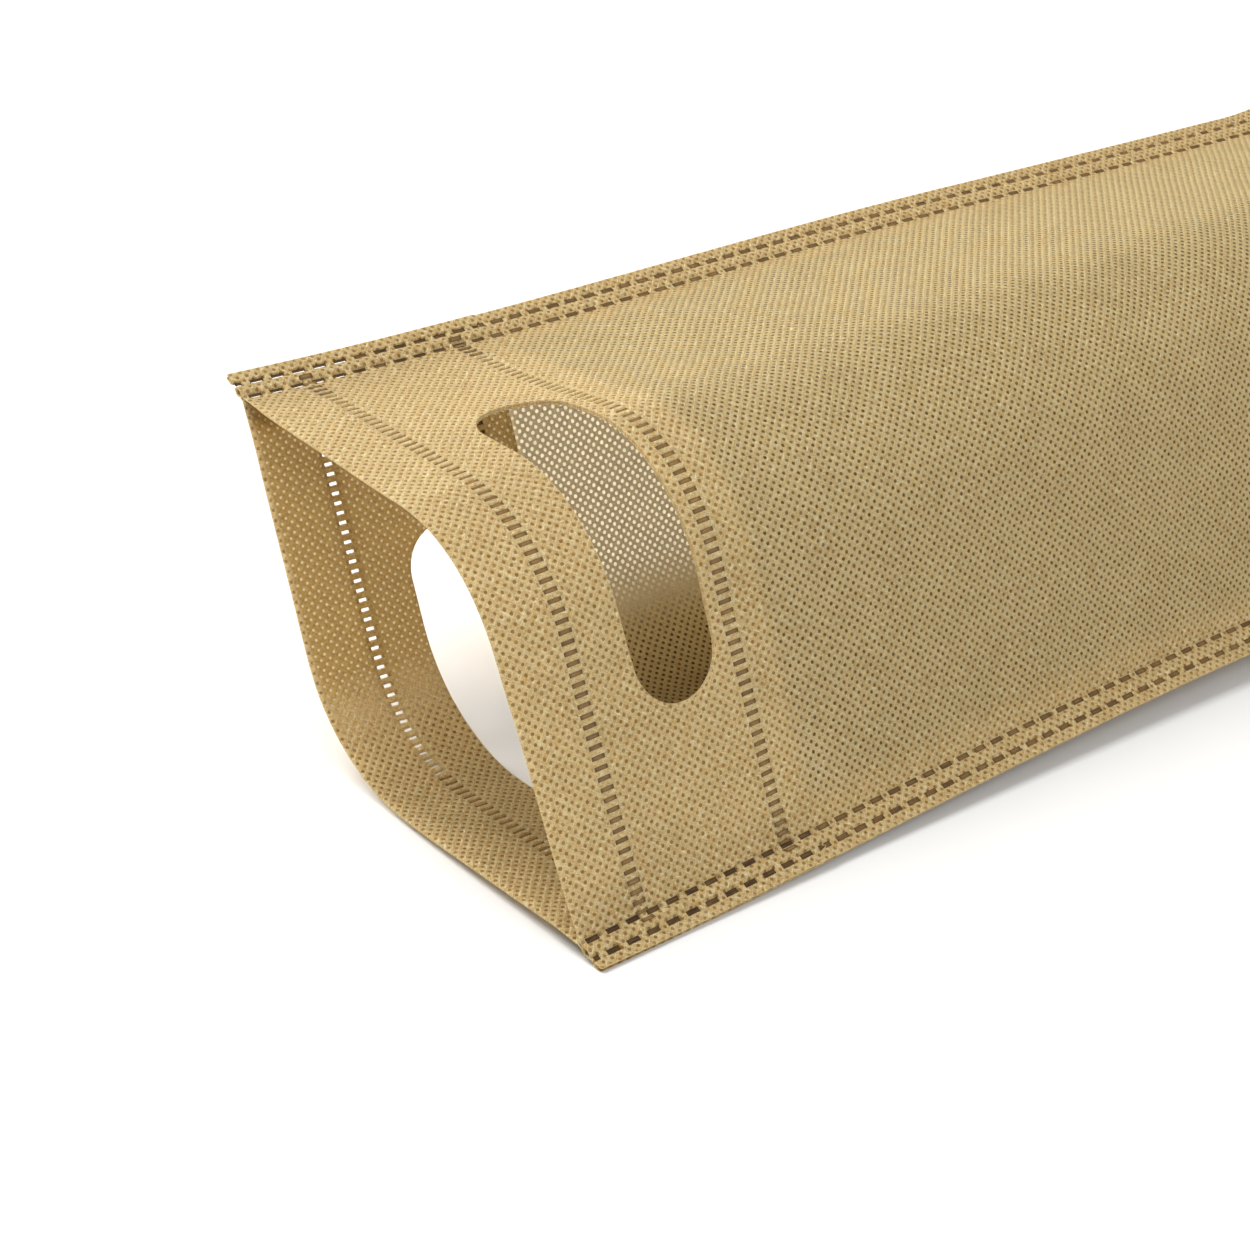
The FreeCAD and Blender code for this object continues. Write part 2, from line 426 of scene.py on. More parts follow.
    def doubled(self, x: Array) -> Array:
        """1 where the hem doubles the cloth and 0 past its raw edge, eased between."""
        return 1 - smooth((x - self.sizes.hem_depth + self.hem_easing / 2) / self.hem_easing)

    def in_seam(self, s: Array) -> Array:
        """1 in the side seams, where the layers lie on each other, and 0 in the panel."""
        return smooth((np.abs(s) - self.seam_start) / self.seam_easing)

    def stack(self, x: Array, s: Array) -> Array:
        """Height of the outer face over the seam's middle: one layer, or two where the hem runs into it."""
        return self.outer_face + (self.hem_in_seam * self.doubled(x) - self.seam_press) * self.in_seam(s)

    def relief(self, side: Side, x: Array, s: Array) -> Array:
        """Height of the outer face over the plain section.

        Puckers, a cosine of the dashes' pitch, run in from the inner rows and fade within a few millimetres
        and at the corners. The welded strips are pillowed between their rows and along their border by a
        squared sine. Slow waves and the swellings cross the panel and fade towards the seams.

        Args:
            side: The panel.
            x: Places along the bag.
            s: Places across it.

        Returns:
            Heights along the outward normal.
        """
        z = self.sizes
        firm = 1 + self.doubled(x)
        aside = np.abs(s) - z.fold
        below = x - z.bottom_fold
        past = np.maximum(aside, below)
        along = np.where(aside > below, x - z.first_dash, s)
        beat = np.cos(2 * np.pi * along / z.pitch)
        pucker = -self.pucker * firm * beat * np.exp(np.minimum(past, 0) / self.pucker_reach)
        pucker = pucker * smooth(1 - past / self.fold_fade)
        pucker = pucker * smooth(np.abs(aside - below) / self.corner_fade)
        inner, outer = z.inner_row + z.dash[1] / 2, z.outer_row - z.dash[1] / 2
        between = np.sin(np.pi * np.clip((past - inner) / (outer - inner), 0, 1)) ** 2
        border = np.sin(np.pi * np.clip((past - outer - z.dash[1]) / self.border_width, 0, 1)) ** 2
        pillow = firm * (self.pillow_between * between + self.pillow_border * border)
        none = np.zeros_like(x)
        waves = sum((wave.rise(side, x, s) for wave in self.waves), none) * smooth(-past / self.wave_fade)
        swell = sum((bulge.rise(x, s) for bulge in self.bulges[side]), none) * smooth(-past / self.swell_fade)
        return pucker + pillow + waves + swell

    def place(self, side: Side, x: Array, s: Array, depth: Array) -> Array:
        """Gives the place in space of places on the cloth.

        A height t over the lowest one that a panel may have is eased to (t + sqrt(t^2 + easing)) / 2, so that
        the cloth lies down on the table softly. The mouth's edge bows out at the panel's middle.

        Args:
            side: The panel.
            x: Places along the bag.
            s: Places across it.
            depth: Depths below the panel's outer face.

        Returns:
            Places in the shared frame, in metres, with one row each.
        """
        y, z, normal_y, normal_z = self.sample(side, x, s)
        inside = np.maximum(x, 0)
        height = self.stack(x, s) + self.relief(side, inside, s) - depth
        bow = self.bow[side] * (1 - (s / self.sizes.edge) ** 2) * np.exp(-inside / self.bow_length)
        over = z + normal_z * height - self.lowest[side]
        on_table = self.lowest[side] + (over + np.sqrt(over * over + self.table_easing)) / 2
        return np.stack([x + bow + MOUTH, y + normal_y * height, on_table], axis=-1) * MM

    def pressed(self, x: Array, s: Array) -> Array:
        """Depth that the welds press the outer face to."""
        seam = (self.stack(x, s) - self.seam_film) * self.welds.seam_cover(x, s)
        return np.maximum(seam, self.hem_press * self.welds.hem_cover(x, s))

    def wall(self, x: Array, s: Array) -> Array:
        """Gives the thickness of a layer, which the seams press a little and the welds to a film.

        Args:
            x: Places along the bag.
            s: Places across it.

        Returns:
            Thicknesses.
        """
        melted = np.maximum(self.welds.seam_cover(x, s), self.welds.hem_cover(x, s))
        loose = self.sizes.cloth - self.layer_press * self.in_seam(s)
        return loose + (self.film - loose) * melted


class Net:
    """Places on the flat cloth, and the faces that join them, wound from x to s."""

    def __init__(self) -> None:
        """Starts with no places."""
        self.places: list[Array] = []
        self.quads: list[Array] = []
        self.triangles: list[Array] = []
        self.count = 0

    def add(self, x: Array, s: Array, depth: Array) -> Array:
        """Adds places.

        Args:
            x: Places along the bag.
            s: Places across it.
            depth: Depths below the panel's outer face.

        Returns:
            The numbers of the places, in the shape that the three arrays have together.
        """
        x, s, depth = np.broadcast_arrays(x, s, depth)
        self.places.append(np.stack([x.ravel(), s.ravel(), depth.ravel()], axis=-1).astype(float))
        numbers = self.count + np.arange(x.size).reshape(x.shape)
        self.count += x.size
        return numbers

    def join(self, block: Array, keep: Array | None = None) -> None:
        """Joins a block of numbers, by rows along x and columns along s, with four-sided faces."""
        faces = np.stack([block[:-1, :-1], block[1:, :-1], block[1:, 1:], block[:-1, 1:]], axis=-1)
        self.quads.append(faces[keep] if keep is not None else faces.reshape(-1, 4))

    def bridge(self, first: Array, first_at: Array, second: Array, second_at: Array, turned: bool) -> None:
        """Joins two lines with different numbers of places with triangles.

        Each stretch of a line takes as its third corner the place of the other line that comes next when the
        stretches of both lines are put in order by their middles.

        Args:
            first: Numbers along the line with the lower s, or with the lower x if turned.
            first_at: Their places along the line.
            second: Numbers along the other line.
            second_at: Their places along it.
            turned: Whether the lines run along s.
        """
        middles = (first_at[1:] + first_at[:-1]) / 2
        others = (second_at[1:] + second_at[:-1]) / 2
        above = second[np.searchsorted(others, middles)]
        below = first[np.searchsorted(middles, others, side="right")]
        low = np.stack([first[:-1], first[1:], above], axis=-1)
        high = np.stack([second[1:], second[:-1], below], axis=-1)
        both = np.concatenate([low, high])
        self.triangles.append(both[:, ::-1] if turned else both)


def add_mesh(name: str, points: Array, faces: list[Array], values: dict[str, Array]) -> bpy.types.Object:
    """Writes a mesh at the origin and smooths its shading, apart from sharp rims.

    Args:
        name: Name of the object and its mesh.
        points: Places in metres.
        faces: Arrays of faces, each of one number of corners.
        values: Values at the points, as numbers or as vectors, by name.

    Returns:
        The object.
    """
    used = np.unique(np.concatenate([part.ravel() for part in faces]))
    number = np.zeros(len(points), dtype=int)
    number[used] = np.arange(len(used))
    mesh = bpy.data.meshes.new(name)
    mesh.from_pydata(points[used].tolist(), [], [face for part in faces for face in number[part].tolist()])
    for key, value in values.items():
        kind, member = ("FLOAT_VECTOR", "vector") if value.ndim == 2 else ("FLOAT", "value")
        layer = mesh.attributes.new(key, kind, "POINT")
        layer.data.foreach_set(member, value[used].astype(np.float32).ravel())
    mesh.shade_smooth()
    mesh.set_sharp_from_angle(angle=np.radians(SHARP))
    piece = bpy.data.objects.new(name, mesh)
    bpy.context.collection.objects.link(piece)
    return piece


def closed(faces: list[Array], count: int) -> list[Array]:
    """Closes a face net to a thin shell, whose second face has the same places numbered on from count.

    An edge lies on a rim if no face runs along it the other way, and each rim edge gets a four-sided face.

    Args:
        faces: Arrays of faces, each of one number of corners.
        count: Number of places of the first face.

    Returns:
        The faces of the whole shell.
    """
    start = np.concatenate([part.ravel() for part in faces])
    end = np.concatenate([np.roll(part, -1, axis=1).ravel() for part in faces])
    rim = ~np.isin(start * count + end, end * count + start)
    a, b = start[rim], end[rim]
    around = np.stack([b, a, a + count, b + count], axis=-1)
    return [*faces, *(part[:, ::-1] + count for part in faces), around]


def either_side(ends: list[float]) -> Array:
    """Gives lines just before and just past each end of a dash, in order."""
    return np.sort(np.concatenate([np.array(ends) - EASE, np.array(ends) + EASE]))


@dataclass
class Panel:
    """One layer of cloth between the seams' cut edges: a panel's outer layer, or its turned-in hem.

    The band's grid is open round the handle. The fold at the mouth reaches out by a share of its depth. Light
    comes under the back panel from the dark height over the table, and rises to its full strength.
    """

    shape: BagShape
    side: Side
    hem: bool = False
    open_start: float = 23.0
    open_half: float = 42.0
    body_rows: int = 106
    body_columns: int = 46
    lip_reach: float = 0.55
    lip_fade: float = 0.8
    lip_light: float = 0.2
    pale_edge_width: float = 0.3
    dark_height: float = 4.0
    light_rise: float = 14.0

    @property
    def name(self) -> str:
        """Name of the layer's CAD node."""
        return self.side.name.lower() + ("_hem" if self.hem else "_panel")

    @property
    def depth(self) -> float:
        """Depth of the layer's bare face below the bag's outer face."""
        return self.shape.sizes.hem_face if self.hem else 0.0

    def row_lines(self) -> Array:
        """Gives the grid lines of a seam: at the edges of its dashes, between its rows and at its cut edge.

        Returns:
            Distances from the fold.
        """
        z = self.shape.sizes
        wide = z.dash[1] / 2
        edges = either_side([z.inner_row - wide, z.inner_row + wide, z.outer_row - wide, z.outer_row + wide])
        return np.sort(np.append(edges, [2.6, 6.1, z.seam]))

    def seam_lines(self) -> tuple[Array, Array]:
        """Gives the grid lines of the side seams, which run along the dashes' edges.

        Returns:
            Their x, and their distances out from the fold.
        """
        z = self.shape.sizes
        half = z.dash[0] / 2
        ends = either_side([half, z.pitch - half, z.stagger - half, z.stagger + half])
        beat = np.sort(np.append(ends, z.pitch / 2))
        along = (z.first_dash + np.arange(-1, z.seam_count)[:, None] * z.pitch + beat).ravel()
        end = z.hem_depth if self.hem else z.length
        along = along[(along > 0.2) & (along < min(end, z.bottom_fold) - 0.3)]
        rows = self.row_lines()
        tail = [] if self.hem else z.bottom_fold + rows[:-1]
        across = np.concatenate([[-4.5, -3.65, -2.5, -1.2, -0.3], rows])
        return np.concatenate([[0.0], along, tail, [end]]), across

    def band(self, net: Net) -> Array:
        """Adds the band at the mouth, with grid lines at the edges of the dashes and a ring round the handle.

        The ring runs from the rectangle that the grid leaves open to the handle's edge, which is all places
        at the end radius from the handle's middle line.

        Args:
            net: The net that it is added to.

        Returns:
            Numbers of the band's grid.
        """
        z = self.shape.sizes
        reach = z.grid_reach
        half, wide = z.hem_dash[0] / 2, z.hem_dash[1] / 2
        dashes = (np.arange(z.hem_count)[:, None] - (z.hem_count - 1) / 2) * z.hem_pitch
        slit = z.hem_slit if self.side is Side.BACK else (1.0, wide - EASE)
        s = (dashes + np.array([-wide - EASE, -slit[1], slit[1], wide + EASE])).ravel()
        s = np.concatenate([[-reach], s[np.abs(s) < reach - CLEAR], [reach]])
        marks = np.sort(np.append(either_side([-half, half]), [-half - 0.7, -slit[0], slit[0], half + 0.7]))
        low = self.open_start
        top = z.handle_middle + z.handle_height / 2 + 2.0
        x = np.concatenate([
            [0, 0.8, 2, 4, 6, 8, 10], z.mouth_row + marks, [18, 19.7, 21.4, low],
            np.linspace(low, top, 8)[1:-1], [top - 0.25],
            z.handle_row + marks, [53, 54.7, 56.3, z.hem_depth]])
        block = net.add(x[:, None], s[None, :], self.depth)
        x0, x1 = np.searchsorted(x, (low - 0.1, top - 0.35))
        s0, s1 = np.searchsorted(s, (-self.open_half, self.open_half))
        keep = np.ones((len(x) - 1, len(s) - 1), dtype=bool)
        keep[x0:x1, s0:s1] = False
        net.join(block, keep)
        loop = np.concatenate([
            block[x0:x1, s0], block[x1, s0:s1], block[x1:x0:-1, s1], block[x0, s1:s0:-1]])
        at = np.concatenate(net.places)[loop, :2]
        radius = z.handle_height / 2
        straight = z.handle_length / 2 - radius
        middle = np.full(len(loop), z.handle_middle)
        spine = np.stack([middle, np.clip(at[:, 1], -straight, straight)], axis=-1)
        away = at - spine
        rim = spine + radius * away / np.linalg.norm(away, axis=1, keepdims=True)
        ring = [loop]
        for share in (0.68, 0.4, 0.18, 0.05, 0.0):
            between = rim + share * (at - rim)
            ring.append(net.add(between[:, 0], between[:, 1], self.depth))
        rows = np.stack(ring)
        net.join(np.concatenate([rows, rows[:, :1]], axis=1).T)
        return block

    def bottom(self, net: Net) -> Array:
        """Adds the bottom seam between the side seams, with grid lines at the edges of its dashes.

        Args:
            net: The net that it is added to.

        Returns:
            Numbers of the seam's grid.
        """
        z = self.shape.sizes
        reach = z.grid_reach
        half = z.dash[0] / 2
        shift = z.stagger / 2
        beat = either_side([half, z.pitch - half, shift + half, z.pitch + shift - half])
        beats = (z.bottom_count + 1) // 2
        s = (np.arange(-beats, beats)[:, None] * z.pitch + beat).ravel()
        s = np.concatenate([[-reach], s[np.abs(s) < reach - CLEAR], [reach]])
        x = z.bottom_fold + np.concatenate([[-2.4, -1.2, -0.3], self.row_lines()])
        block = net.add(x[:, None], s[None, :], self.depth)
        net.join(block)
        return block

    def net(self) -> tuple[Net, Array, Array]:
        """Joins the seams, the band, the body and the bottom into one layer.

        Returns:
            The net, and the numbers and the s of the places along the mouth.
        """
        z = self.shape.sizes
        net = Net()
        x, across = self.seam_lines()
        near = net.add(x[:, None], -(z.fold + across[::-1])[None, :], self.depth)
        far = net.add(x[:, None], (z.fold + across)[None, :], self.depth)
        net.join(near)
        net.join(far)
        blocks = [self.band(net)]
        if not self.hem:
            s = np.linspace(-z.grid_reach, z.grid_reach, self.body_columns)
            body = np.linspace(z.hem_depth + 1.5, z.bottom_fold - 4, self.body_rows)
            blocks.append(net.add(body[:, None], s[None, :], self.depth))
            net.join(blocks[1])
            blocks.append(self.bottom(net))
        places = np.concatenate(net.places)
        for low, high in zip(blocks, blocks[1:]):
            net.bridge(low[-1], places[low[-1], 1], high[0], places[high[0], 1], True)
        for line, other, at_near in ((near[:, -1], 0, True), (far[:, 0], -1, False)):
            border = np.concatenate([block[:, other] for block in blocks])
            pair = (line, border) if at_near else (border, line)
            net.bridge(pair[0], places[pair[0], 0], pair[1], places[pair[1], 0], False)
        mouth = np.concatenate([near[0], blocks[0][0], far[0]])
        return net, mouth, places[mouth, 1]

    def lip(self, net: Net, mouth: Array, s: Array) -> None:
        """Adds the fold at the mouth: half a round as thick as two layers, from the outer face to the hem's.

        Args:
            net: The net that it is added to.
            mouth: Numbers of the places along the mouth.
            s: Their places across the bag.
        """
        turn = np.linspace(0, np.pi, 8)[:-1, None]
        ahead = -self.lip_reach * self.depth * np.sin(turn)
        rows = net.add(ahead, s[None, :], self.depth / 2 * (1 - np.cos(turn)))
        net.join(np.concatenate([rows, mouth[None, :]]))

    def cut_edge(self, x: Array, s: Array) -> Array:
        """Finds how close places lie to a cut edge of the cloth.

        Args:
            x: Places along the bag.
            s: Places across it.

        Returns:
            1 on an edge, and 0 from the pale edge's width off.
        """
        z = self.shape.sizes
        straight = (z.handle_length - z.handle_height) / 2
        spine = np.hypot(x - z.handle_middle, np.maximum(np.abs(s) - straight, 0))
        end = z.hem_depth if self.hem else z.length
        off = np.min([np.abs(spine - z.handle_height / 2), z.edge - np.abs(s), end - x], axis=0)
        return 1 - smooth(off / self.pale_edge_width)

    def build(self) -> bpy.types.Object:
        """Makes the layer's mesh: its bare face, a second face behind it and the rims between them.

        In the fold at the mouth the second face lies nearer to the fold's centre, elsewhere deeper in the
        cloth. The mesh says of each point where it lies on the flat cloth, how close it is to a cut edge, to
        the rows across the panel (calm) and to a second layer (doubled), whether it is hidden between two
        layers (within), whether light falls on it from outside on its way in (lit), and whether it is on the
        bag's inside with light behind it (shone).

        Returns:
            The layer as an object.
        """
        shape = self.shape
        net, mouth, mouth_s = self.net()
        if self.hem:
            self.lip(net, mouth, mouth_s)
        places = np.concatenate(net.places)
        x, s, depth = places.T
        inside = np.maximum(x, 0)
        wall = shape.wall(inside, s)
        seamed = shape.in_seam(s)
        if self.hem:
            share = np.where(x <= 0, 1 - 2 * wall / self.depth, 1)
            behind = np.where(x <= 0, self.depth / 2 + (depth - self.depth / 2) * share, depth - wall)
            room = shape.stack(inside, s) - shape.seam_gap
            pinch = 1 - seamed * (1 - room / self.depth)
            dimple = shape.hem_dimple * shape.welds.hem_cover(inside, s) * (x >= 0)
            pressed = shape.pressed(inside, s) * (x <= 0)
            left = 1 - pressed / room
            depth = pressed + (depth * pinch - dimple) * left
            behind = pressed + (behind * pinch - dimple) * left
        else:
            share = 1.0
            depth = depth + shape.pressed(inside, s)
            behind = depth + wall
        faces = [np.concatenate(part) for part in (net.quads, net.triangles)]
        middles = places[faces[0]].mean(axis=1)
        faces[0] = faces[0][~shape.welds.opened(self.side, middles[:, 0], middles[:, 1])]
        if (self.side is Side.BACK) != self.hem:
            faces = [part[:, ::-1] for part in faces]
        points = np.concatenate([
            shape.place(self.side, x, s, depth), shape.place(self.side, x * share, s, behind)])
        flat = np.stack([x, s, np.zeros_like(x)], axis=-1)
        doubled = shape.doubled(inside)
        edge = self.cut_edge(inside, s)
        above = smooth((points[:, 2] / MM - self.dark_height) / self.light_rise)
        off_table = np.ones(2 * len(x)) if self.side is Side.FRONT else above
        inner = np.repeat([1.0, 0.0] if self.hem else [0.0, 1.0], len(x))
        from_mouth = smooth(x / self.lip_fade + self.lip_light) if self.hem else np.ones(len(x))
        return add_mesh(self.name + "_cloth", points, closed(faces, len(x)), {
            "flat": np.tile(flat, (2, 1)),
            "cut": np.tile(edge, 2),
            "calm": np.tile(shape.welds.beside(inside) * (1 - seamed), 2),
            "doubled": np.tile(np.maximum(doubled, seamed), 2),
            "within": np.concatenate([np.zeros(len(x)), doubled * (1 - seamed) * (1 - edge)]),
            "lit": (1 - inner) * off_table * (self.side is Side.BACK and not self.hem),
            "shone": inner * off_table * np.tile(from_mouth, 2)})


@dataclass
class WeldPads:
    """The melted film in the floor of each dash of a row: a shallow oblong lens on each face it shows on.

    The ring on a lens lies at a share of the way out, another one for dashes along the bag than across it. In
    a dash of a side seam that is cut through, the ring is drawn out and moved inwards, and bounds a hole.
    """

    shape: BagShape
    name: str
    row: WeldRow
    faces: tuple[tuple[Side, Face], ...]
    deep: float
    single_deep: float = 0.6
    rim_gap: float = 0.03
    ring_along: float = 0.6
    ring_across: float = 0.7
    depths: tuple[float, ...] = (-0.06, -0.055, -0.03, 0.03, 0.03)
    torn_stretch: tuple[float, float] = (1.45, 0.7)
    torn_shift: float = 0.27
    flat_print: float = 0.07
    seed: int = 7

    @property
    def on_hem(self) -> bool:
        """Whether the row runs across a hem, so that it shows on both faces of one panel."""
        return any(face is Face.INNER for _, face in self.faces)

    def lens(self) -> tuple[Array, Array, Array]:
        """Gives the rings of one lens: the middle, a ring and the rim on top, a ring and the middle below.

        A ring point is its corner's centre plus the corner's radius at an angle, times a share.

        Returns:
            Places from the middle as rows of x and s, their share of the way out, and their depths below the
            floor.
        """
        turn = (np.arange(RING) + 0.5) * 2 * np.pi / RING
        unit = np.stack([np.cos(turn), np.sin(turn)], axis=-1)
        corner = self.row.corner
        outline = np.sign(unit) * (np.array(self.row.size) / 2 - corner - self.rim_gap) + corner * unit
        inner = self.ring_along if self.row.step[0] else self.ring_across
        counts = [1, RING, RING, RING, 1]
        share = np.repeat([0.0, inner, 1.0, inner, 0.0], counts)
        points = np.concatenate([outline[:1], outline, outline, outline, outline[:1]])
        return points * share[:, None], share, np.repeat(self.depths, counts)

    def torn(self, points: Array, share: Array) -> Array:
        """Moves the ring of a seam's lens to the ends and the inner side of its dash.

        Args:
            points: Places of the lens from its middle.
            share: Their share of the way out.

        Returns:
            The places with the ring moved.
        """
        ring = (share > 0) & (share < 1)
        inward = -np.sign(self.row.start[1])
        return np.where(ring[:, None], points * self.torn_stretch + (0.0, self.torn_shift * inward), points)

    def shortened(self, x: Array, middle: Array) -> Array:
        """Shortens a lens that the mouth's edge cuts off, so that it runs from the edge to its other end."""
        half = self.row.size[0] / 2
        return np.where(middle < 0, (x - middle + half) * (middle + half) / (2 * half), x)

    def build(self) -> bpy.types.Object:
        """Makes all lenses of the row as one mesh, with a hole in the lens of each dash that is cut through.

        Returns:
            The welds as an object.
        """
        shape, row = self.shape, self.row
        points, share, depth = self.lens()
        ring, after = np.arange(RING), np.roll(np.arange(RING), -1)
        top, rim, low, last = 1, 1 + RING, 1 + 2 * RING, 1 + 3 * RING
        belts = [np.stack([ring + a, ring + b, after + b, after + a], axis=-1)
                 for a, b in ((top, rim), (rim, low), (low, top))]
        caps = np.concatenate([np.stack([0 * ring, ring + top, after + top], axis=-1),
                               np.stack([0 * ring + last, after + low, ring + low], axis=-1)])
        k = np.arange(row.count)
        cut = (k >= row.cut[0]) & (k < row.cut[1])
        in_reach = np.abs(row.middles()[:, 1]) < shape.sizes.hem_reach
        chances = np.random.default_rng(self.seed).random(row.count)
        spread, quads, triangles, marks, count = [], [], [], [], 0
        for side, face in self.faces:
            shown = np.ones(row.count, dtype=bool) if face is Face.OUTER else in_reach & ~cut
            slit = cut[shown]
            middles = np.repeat(row.middles()[shown], len(points), axis=0)
            moved = np.repeat(slit, len(points))[:, None] & (row.step[0] > 0)
            lenses = [np.tile(part, (shown.sum(), 1)) for part in (self.torn(points, share), points)]
            x, s = (middles + np.where(moved, *lenses)).T
            x = self.shortened(x, middles[:, 0])
            over = np.tile(depth, shown.sum())
            if face is Face.OUTER:
                past_reach = np.abs(middles[:, 1]) > shape.sizes.hem_reach
                over = over + shape.pressed(*middles.T) - self.flat_print * past_reach * self.on_hem
            else:
                over = shape.sizes.hem_face - shape.hem_dimple - over
            spread.append(shape.place(side, x, s, over))
            first = np.arange(shown.sum())[:, None, None] * len(points) + count
            way = slice(None, None, side.value * face.value)
            quads += [(first + belt).reshape(-1, 4)[:, way] for belt in belts[:2]]
            quads.append((first[slit] + belts[2]).reshape(-1, 4)[:, way])
            triangles.append((first[~slit] + caps).reshape(-1, 3)[:, way])
            # a film of fewer layers is paler: partly a thinner melt, partly less painted shade in a shallower
            # dash
            deep = self.deep * (self.single_deep + (1 - self.single_deep) * shape.doubled(x))
            chance = np.repeat(chances[shown], len(points))
            marks.append(np.stack([x, s, 0 * x, np.tile(share, shown.sum()), deep, chance], axis=-1))
            count += len(x)
        values = np.concatenate(marks)
        faces = [np.concatenate(quads), np.concatenate(triangles)]
        return add_mesh(self.name + "_film", np.concatenate(spread), faces, {
            "flat": values[:, :3], "edge": values[:, 3], "deep": values[:, 4], "chance": values[:, 5]})


def add_node(tree: bpy.types.NodeTree, kind: str, inputs: dict | None = None, **settings) -> bpy.types.Node:
    """Adds a node with its settings, its input values and its links.

    Args:
        tree: The material's node tree.
        kind: The node's type, without its first word.
        inputs: Values, or output sockets to link, by the input's name or number.
        **settings: Properties of the node.

    Returns:
        The node.
    """
    node = tree.nodes.new("ShaderNode" + kind)
    for key, value in settings.items():
        setattr(node, key, value)
    for key, value in (inputs or {}).items():
        if isinstance(value, Socket):
            tree.links.new(value, node.inputs[key])
        else:
            node.inputs[key].default_value = value
    return node


def new_material(name: str) -> bpy.types.Material:
    """Makes a material with an empty node tree."""
    material = bpy.data.materials.new(name)
    material.use_nodes = True
    material.node_tree.nodes.clear()
    return material


